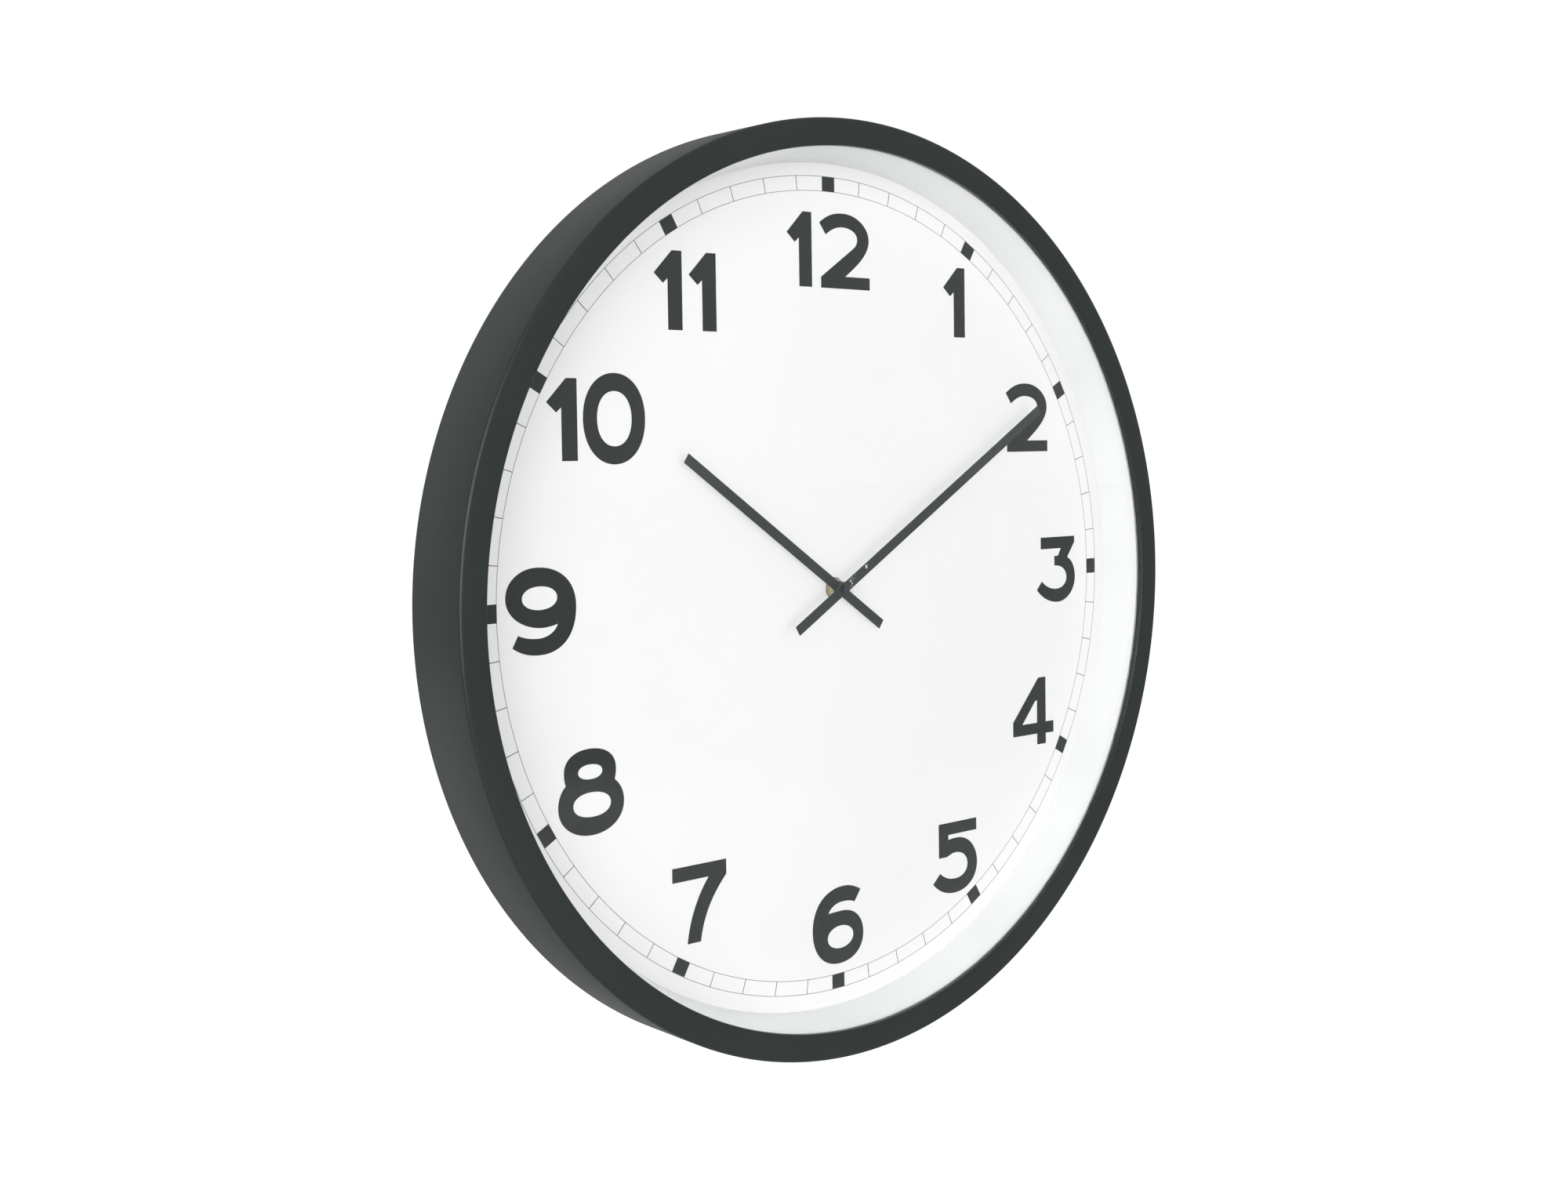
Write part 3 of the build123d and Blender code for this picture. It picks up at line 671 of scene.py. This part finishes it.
def makeCase(s):
    r, d, t, lip = s["radius"], s["depth"], s["sheet"], s["lipRadius"]
    end = d - s["lipDepth"]
    points = [(r, 0), (r, d), (lip, d), (lip, end), (lip + t, end), (lip + t, d - t),
              (r - t, d - t), (r - t, 0)]
    rounds = [(0, s["rearEdge"], 2), (1, s["corner"], 8), (2, s["lipRound"], 6),
              (3, s["lipEdge"], 2), (4, s["lipEdge"], 2), (6, s["corner"] - t, 4),
              (7, s["rearEdge"], 2)]
    finishPiece(turnProfile(points, rounds, s["steps"]), "caseShell", "case", "case_paint",
                replaced=("case_shell",), sharpAngle=50.0)


lensSettings = {"radius": 287.0, "back": 43.7, "front": 46.7, "chamfer": 0.5, "steps": 256}


def makeLens(s):
    points = [(0, s["back"]), (s["radius"], s["back"]), (s["radius"], s["front"]), (0, s["front"])]
    rounds = [(1, s["chamfer"], 1), (2, s["chamfer"], 1)]
    finishPiece(turnProfile(points, rounds, s["steps"]), "lens", "case", "clear_glass",
                replaced=("glass_lens",))


reflectorSettings = {
    "foot": 275.8, "front": 18.0, "outer": 296.0, "flange": 1.0, "footWall": 1.35,
    "top": 282.9, "topHeight": 43.7, "topWall": 0.9, "rim": 287.2, "edge": 0.3,
    "footEdge": 0.25, "topEdge": 0.6, "steps": 256,
}


def makeReflector(s):
    foot, top, low, high = s["foot"], s["top"], s["front"], s["topHeight"]
    lowFlange, highFlange = low + s["flange"], high - s["flange"]
    points = [(foot, low), (s["outer"], low), (s["outer"], lowFlange),
              (foot + s["footWall"], lowFlange), (top + s["topWall"], highFlange),
              (s["rim"], highFlange), (s["rim"], high), (top, high)]
    rounds = [(i, s["edge"], 2) for i in (1, 2, 5, 6)]
    rounds = [(0, s["footEdge"], 2)] + rounds + [(7, s["topEdge"], 3)]
    finishPiece(turnProfile(points, rounds, s["steps"]), "reflector", "case", "white_enamel",
                replaced=("reflector_ring",))


printSettings = {
    "face": 18.0, "thickness": 0.04, "overprint": 0.01, "outerRing": 266.3, "innerRing": 256.9,
    "ringSteps": 64, "line": 0.32, "tick": 0.45, "middle": (-0.5, 1.2), "blockWidth": 10.8,
    "blockMiddle": 261.4, "blockHeight": 9.4,
}


def ringLoops(middle, radius, line):
    edges = (radius + line / 2, radius - line / 2)
    return [ringPoints(middle, edge, edge, 0.55228) for edge in edges]


def barLoop(middle, angle, width, low, high):
    turn = Matrix.Rotation(math.radians(-angle), 2)
    corners = ((-width / 2, low), (width / 2, low), (width / 2, high), (-width / 2, high))
    return [tuple(Vector(middle) + turn @ Vector(c)) for c in corners]


def makeTrack(s):
    low, high = s["face"], s["face"] + s["thickness"]
    middle, inner, outer = s["middle"], s["innerRing"], s["outerRing"]
    rings = ringLoops(middle, outer, s["line"]) + ringLoops(middle, inner, s["line"])
    flatPiece("minuteRings", rings, low, high, "case", "hand_black", resolution=s["ringSteps"],
              material=paleInk)
    ticks = [barLoop(middle, 6.0 * i, s["tick"], inner, outer) for i in range(60) if i % 5]
    flatPiece("minuteTicks", ticks, low, high, "case", "hand_black", material=ink)
    half = s["blockHeight"] / 2
    blocks = [barLoop(middle, 30.0 * i, s["blockWidth"], s["blockMiddle"] - half,
                      s["blockMiddle"] + half)
              for i in range(12)]
    flatPiece("hourBlocks", blocks, low, high + s["overprint"], "case", "hand_black",
              material=ink)


# Each outline runs round its figure: a corner is (x, y), a smooth point adds its two handles.
one = [(9.5, 22.5), (9.5, -25.5), (-1.5, -25.5), (-1.5, 5.5), (-5, 2.5), (-11.8, 8.5), (2, 22.5)]
two = [(-23, 16.5, 0, 0, 6.5, 4.7), (-2, 23.5, -9, 0, 13, 0), (21, 7, 0, 8.5, 0, -9.5),
       (-0.5, -17.5, 9.5, 7.0, 0, 0), (21.5, -17.5), (21.5, -25.5), (-22, -25.5),
       (-22, -18.5), (7, 1.2, -3, -2, 2.2, 1.5), (10.5, 7.2, 0, -2.4, 0, 4.2),
       (-3, 14.5, 7.8, 0, -5.4, 0), (-17.5, 9, 4.6, 3.3, 0, 0)]
three = [(-17, 24), (20.5, 24), (20.5, 19.5), (12.5, 8.7, 0, 0, 5.2, -2.6),
         (21, -6.2, 0, 7.2, 0, -9.8), (1.5, -24, 10.2, 0, -8.8, 0),
         (-21.5, -14, 5.2, -6.0, 0, 0), (-16, -8, 0, 0, 4.3, -4.2),
         (0, -14.2, -6.0, 0, 6.8, 0), (11.4, -6, 0, -4.6, 0, 4.9), (1, 2.8, 5.6, -0.4, 0, 0),
         (-2, 3), (-2, 10), (2, 10), (5.2, 15.5), (-17, 15.5)]
fourOuter = [(5.5, 24.5), (13.5, 24.5), (13.5, -8.5), (22, -8.5), (22, -17), (13.5, -17),
             (13.5, -24.5), (4, -24.5), (4, -16.5), (-22, -16.5), (-22, -6)]
fourInner = [(4, 8), (2, 7.5), (-12, -8.5), (4, -8.5)]
five = [(-16, 24), (22, 24), (22, 15.5), (-6.5, 15.5), (-6.5, 12, 0, 0, 2.6, 0.5),
        (2, 12.6, -3.0, 0, 11.5, 0), (22.4, -7, 0, 11.0, 0, -11.5), (0, -26, 12.4, 0, -9, 0),
        (-22, -17, 6.0, -6.2, 0, 0), (-15, -10.5, 0, 0, 4.6, -3.9), (0.5, -16, -6.0, 0, 7.2, 0),
        (12.6, -7, 0, -5.2, 0, 5.4), (0.5, 2.3, 6.8, 0, -3.4, 0), (-8, 0.2, 3, 1, 0, 0), (-16, 0.2)]
sixOuter = [(20, 20, 0, 0, -5.2, 3.0), (4, 24.6, 6.2, 0, -16, 0), (-23.2, -2, 0, 16.4, 0, -15.6),
            (0.5, -26.6, -13.6, 0, 13.4, 0), (22.2, -9, 0, -10.4, 0, 10.0),
            (3, 8.3, 11.4, 0, -3.5, 0), (-9, 7.9, 3.5, 0.4, 1.6, 3.6),
            (4, 14.3, -6.6, 0, 4.4, 0), (14.5, 12.4, -3.2, 1.3, 0, 0)]
seven = [(-22, 22.5), (20.5, 22.5), (20.5, 13, 0, 0, -11.5, -11.6), (-0.5, -26, 2.4, 15.5, 0, 0),
         (-11, -26, 0, 0, 2.2, 15.8), (6.3, 13.5, -8.6, -10.2, 0, 0), (-22, 13.5)]
eightOuter = [(-2, 25.2, -11.2, 0, 11, 0), (16.5, 12, 0, 8.4, 0, -3),
              (15.4, 5, 0.7, 2, 3.8, -2.8), (22, -8, 0, 5.6, 0, -10.8),
              (-1.5, -26.2, 13.4, 0, -13.4, 0),
              (-25, -8, 0, -10.8, 0, 5.6), (-19.4, 5, -3.4, -2.8, -0.7, 2),
              (-20.6, 12, 0, -3, 0, 8.4)]
nineOuter = [(-3, 25.2, -12.4, 0, 15.6, 0), (23.6, 2, 0, 14.4, 0, -17),
             (-2, -25.3, 15.6, 0, -8.2, 0), (-20.5, -20, 5.2, -3.4, 0, 0),
             (-16.5, -13, 0, 0, 3.6, -1.9),
             (-3, -15.7, -4.8, 0, 6.6, 0), (10.6, -8, -1.4, -4.2, -2.6, -0.9),
             (0, -9.7, 3.8, 0, -12.6, 0), (-24.6, 8, 0, -10.4, 0, 9.8)]


def shifted(loop, dx):
    return [(p[0] + dx, *p[1:]) for p in loop]


# Each numeral has its middle on the dial and its outlines.
numerals = {
    1: ((117.4, 192.9), [one]),
    2: ((191.5, 112.9), [two]),
    3: ((221.9, 0.4), [three]),
    4: ((195.4, -102.1), [fourOuter, fourInner]),
    5: ((111.7, -194.7), [five]),
    6: ((0.5, -222.4), [sixOuter, ringPoints((1.5, -9), 11.5, 7.5, 0.57)]),
    7: ((-114.8, -186.2), [seven]),
    8: ((-193.7, -107.6), [eightOuter, ringPoints((-2, 11.5), 8.6, 4.4, 0.6),
                           ringPoints((-1, -8), 13.4, 7.3, 0.6)]),
    9: ((-226.9, 0.7), [nineOuter, ringPoints((-1.5, 7.5), 12, 6.8, 0.58)]),
    10: ((-187.1, 111.9), [shifted(one, -22.5), ringPoints((13.5, -1), 22.5, 27, 0.585),
                           ringPoints((13.5, -1), 12.5, 16.3, 0.6)]),
    11: ((-119.6, 190.0), [shifted(one, -11.5), shifted(one, 15)]),
    12: ((-0.5, 221.3), [shifted(one, -24.5), shifted(two, 14.8)]),
}


def makeNumerals(s):
    low, high = s["face"], s["face"] + s["thickness"] + s["overprint"]
    for hour, (centre, loops) in numerals.items():
        moved = [[(p[0] + centre[0], p[1] + centre[1], *p[2:]) for p in loop] for loop in loops]
        flatPiece("numeral%d" % hour, moved, low, high, "case", "hand_black", material=ink)


handSettings = {
    "width": 6.6, "thickness": 0.8, "edge": 0.14, "minuteAngle": 58.7, "minuteReach": 225.5,
    "minuteTail": 47.5, "minuteHub": 4.7, "minuteBack": 27.6, "minuteBore": 1.71,
    "hourAngle": 304.892, "hourReach": 152.0, "hourTail": 45.5, "hourHub": 5.0,
    "hourBack": 23.1, "hourBore": 2.56,
}


def handLoops(width, reach, tail, hub, bore):
    half = width / 2
    lean = math.degrees(math.asin(half / hub))
    right = arcPoints((0, 0), hub, lean - 90, 90 - lean, 4)
    left = arcPoints((0, 0), hub, 90 + lean, 270 - lean, 4)
    outline = [(half, -tail)] + right + [(half, reach), (-half, reach)] + left
    return [outline + [(-half, -tail)], ringPoints((0, 0), bore, bore)]


def makeHands(s):
    for name, turn, body, node in (("minute", s["minuteAngle"], "minute", "minute_hand"),
                                   ("hour", s["hourAngle"], "hour", "hour_hand")):
        loops = handLoops(s["width"], s[name + "Reach"], s[name + "Tail"], s[name + "Hub"],
                          s[name + "Bore"])
        low = s[name + "Back"]
        hand = flatPiece(name + "Hand", loops, low, low + s["thickness"], body, "hand_black",
                         s["edge"], turn, replaced=(node,))
        hand.visible_shadow = False  # the real hands hardly shade the dial
        hand.visible_glossy = False  # keeps the brass behind them bright


# Each chip is (across the hand, along the hand, size).
chipSettings = {
    "gap": 0.005, "proud": 0.02, "corners": 7, "twist": 40.0, "ragged": (0.62, 0.38, 3.0),
    "lengthwise": 1.25,
    "chips": [(-1.6, 24.2, 1.65), (-1.5, 7.2, 1.15), (-2.4, 9.2, 0.6), (-1.2, 11.0, 0.5),
              (-2.2, 12.6, 0.45), (0.9, 7.6, 0.8), (1.8, 6.2, 0.5), (-0.3, 9.4, 0.4)],
}


# Small chips in the lacquer beside the hub of the minute hand
def makeChips(s, hand):
    base, swing, waves = s["ragged"]
    loops = []
    for index, (x, y, size) in enumerate(s["chips"]):
        corners = []
        for i in range(s["corners"]):
            angle = math.radians(i * 360.0 / s["corners"] + s["twist"] * index)
            reach = size * (base + swing * math.cos(waves * i + index))
            corners.append((x + reach * math.cos(angle),
                            y + s["lengthwise"] * reach * math.sin(angle)))
        loops.append(corners)
    low = hand["minuteBack"] + hand["thickness"] + s["gap"]
    flatPiece("handChips", loops, low, low + s["proud"], "minute", "hand_black",
              turn=hand["minuteAngle"], material=primer)


def ringProfile(inner, outer, low, high):
    return [(inner, low), (outer, low), (outer, high), (inner, high)]


clampSettings = {
    "washer": (4.05, 7.5, 18.0, 18.6), "washerEdge": 0.12, "nutFlats": 10.0, "nut": (18.6, 21.0),
    "nutFit": 0.02, "nutChamfer": 0.3, "bush": 3.95, "bushBore": 2.62, "bushTop": 21.6,
    "flange": (6.0, 13.8, 15.0), "threadStart": 16.6, "threadPitch": 0.5, "threadDepth": 0.2,
    "steps": 96,
}


# The washer, nut and threaded bush that clamp the movement to the dial
def makeClamp(s):
    rounds = [(i, s["washerEdge"], 3) for i in range(4)]
    finishPiece(turnProfile(ringProfile(*s["washer"]), rounds, s["steps"]), "steelWasher", "case",
                "nickel_steel", replaced=("steel_washer",))
    nut = hexNut(s["nutFlats"], *s["nut"], s["bush"] + s["nutFit"], s["nutChamfer"])
    finishPiece(nut, "bushNut", "case", "brass", replaced=("bush_nut",))
    flange, flangeLow, flangeHigh = s["flange"]
    bush, bore, top, depth = s["bush"], s["bushBore"], s["bushTop"], s["threadDepth"]
    points = [(bore, flangeLow), (flange, flangeLow), (flange, flangeHigh), (bush, flangeHigh)]
    height = s["threadStart"]
    while height < top - s["threadPitch"]:
        points += [(bush, height), (bush - depth, height + depth), (bush, height + 2 * depth)]
        height += s["threadPitch"]
    points += [(bush, top - depth), (bush - depth, top), (bore, top)]
    finishPiece(turnProfile(points, (), s["steps"]), "centreBush", "case", "brass",
                replaced=("centre_bush",), sharpAngle=25.0)


colletSettings = {
    "hour": (2.56, 3.6, 21.9, 23.1), "hourEdge": 0.15, "minute": (1.71, 4.3, 24.7, 27.6),
    "neck": (0.5, 0.8), "neckEdge": 0.2, "rimEdge": 0.12, "steps": 64,
}


def makeCollets(s):
    rounds = [(1, s["hourEdge"], 2), (2, s["hourEdge"], 2)]
    bm = turnProfile(ringProfile(*s["hour"]), rounds, s["steps"])
    hour = finishPiece(bm, "hourCollet", "hour", "hand_black", replaced=("hour_collet",))
    inner, outer, low, high = s["minute"]
    inset, rise = s["neck"]
    points = [(inner, low), (outer - inset, low), (outer, low + rise), (outer, high),
              (inner, high)]
    rounds = [(1, s["neckEdge"], 2), (2, s["neckEdge"], 2), (3, s["rimEdge"], 2)]
    bm = turnProfile(points, rounds, s["steps"])
    minute = finishPiece(bm, "minuteCollet", "minute", "hand_black", replaced=("minute_collet",))
    hour.visible_glossy = False
    minute.visible_glossy = False


capNutSettings = {
    "flats": 5.5, "low": 28.4, "high": 30.9, "bore": 1.5, "roof": 0.6, "shoulder": 0.55,
    "faceRadius": 2.3, "crownRadius": 1.9, "crown": 0.06, "faceEdge": 0.15,
    "shoulderEdge": 0.12, "steps": 96,
}


def makeCapNut(s):
    low, high, bore = s["low"], s["high"], s["bore"]
    outer = s["flats"] / math.sqrt(3.0) + nutSettings["spare"]
    points = [(bore, low), (outer, low), (outer, high - s["shoulder"]),
              (s["faceRadius"], high - s["crown"]), (s["crownRadius"], high), (0, high),
              (0, high - s["roof"]), (bore, high - s["roof"])]
    bm = turnProfile(points, [(3, s["faceEdge"], 3), (2, s["shoulderEdge"], 2)], s["steps"])
    cutHexagon(bm, s["flats"])
    finishPiece(bm, "handNut", "minute", "nut_black", replaced=("hand_nut",))


studNutSettings = {
    "circle": 290.0, "first": 30.0, "count": 6, "flats": 5.5, "span": (14.1, 16.5), "bore": 1.52,
    "chamfer": 0.12,
}


def makeStudNuts(s):
    whole = bmesh.new()
    for i in range(s["count"]):
        angle = math.radians(s["first"] + i * 360.0 / s["count"])
        nut = hexNut(s["flats"], *s["span"], s["bore"], s["chamfer"])
        nut.transform(Matrix.Translation((s["circle"] * math.cos(angle),
                                          s["circle"] * math.sin(angle), 0)))
        mesh = bpy.data.meshes.new("oneNut")
        nut.to_mesh(mesh)
        nut.free()
        whole.from_mesh(mesh)
        bpy.data.meshes.remove(mesh)
    finishPiece(whole, "studNuts", "case", "zinc_steel", replaced=("stud_nuts",))


# The steel can stands inside the wrap by canInset. Its foot and neck are (inset, height).
cellSettings = {
    "middle": (0.0, -19.2, 7.8), "radius": 7.1, "start": -24.4, "shoulder": 25.0, "tip": 26.05,
    "wrapStep": 0.12, "wrapFolds": (1.4, 1.6), "wrapRounds": (0.7, 0.9), "canInset": 1.2,
    "foot": (1.5, 0.4), "neck": (2.0, 0.3), "buttonStep": 0.1, "buttonRadii": (2.9, 2.7),
    "canEdge": 0.2, "tipEdge": 0.35, "steps": 96,
}


def makeCell(s):
    lay = Matrix.Translation(s["middle"]) @ Matrix.Rotation(math.radians(90), 4, "Y")
    r, start, end, tip = s["radius"], s["start"], s["shoulder"], s["tip"]
    wrapStart, (lowFold, highFold) = start + s["wrapStep"], s["wrapFolds"]
    jacket = [(r - lowFold, wrapStart), (r, wrapStart), (r, end), (r - highFold, end)]
    lowRound, highRound = s["wrapRounds"]
    finishPiece(turnProfile(jacket, [(1, lowRound, 4), (2, highRound, 4)], s["steps"]),
                "cellJacket", "battery", "cell_jacket", replaced=("aa_cell",), place=lay)
    can, (footInset, footRise), (neckInset, neckDrop) = r - s["canInset"], s["foot"], s["neck"]
    top, (buttonFoot, buttonTip) = end - s["buttonStep"], s["buttonRadii"]
    ends = [(0, start), (r - footInset, start), (can, start + footRise), (can, end - neckDrop),
            (r - neckInset, top), (buttonFoot, top), (buttonTip, tip), (0, tip)]
    rounds = [(1, s["canEdge"], 2), (5, s["canEdge"], 2), (6, s["tipEdge"], 3)]
    finishPiece(turnProfile(ends, rounds, s["steps"]), "cellEnds", "battery", "nickel_steel",
                place=lay)


# Each row is (piece, node, body, slot, edge width).
backPieces = [
    ("hanger", "hanger_bracket", "case", "zinc_steel", 0.3),
    ("movementCase", "movement_housing", "case", "movement_black", 0.35),
    ("movementCover", "rear_cover", "case", "movement_black", 0.2),
    ("settingKnob", "setting_knob", "knob", "movement_black", 0.12),
    ("positiveContact", "contact_positive", "case", "nickel_steel", 0.08),
    ("negativeContact", "contact_negative", "case", "nickel_steel", 0.08),
]


# Every CAD node gets its slot's finish; the pieces above stand in for some of them.
def paintNodes():
    for row in frame["record"]["subparts"]:
        node = frame["nodes"][row["node"]]
        node.data.materials.clear()
        node.data.materials.append(finishes[row["material_slot"]])


makeCamera(cameraSettings)
makeStudio(studioSettings)
print("studio ready")
paintNodes()
print("carried over parts painted")
makeCase(caseSettings)
makeLens(lensSettings)
makeReflector(reflectorSettings)
print("case, lens and reflector made")
makeTrack(printSettings)
makeNumerals(printSettings)
print("dial printed")
makeHands(handSettings)
makeChips(chipSettings, handSettings)
makeClamp(clampSettings)
makeCollets(colletSettings)
makeCapNut(capNutSettings)
print("hands and centre made")
makeStudNuts(studNutSettings)
for row in backPieces:
    softened(*row)
makeCell(cellSettings)
print("back made")
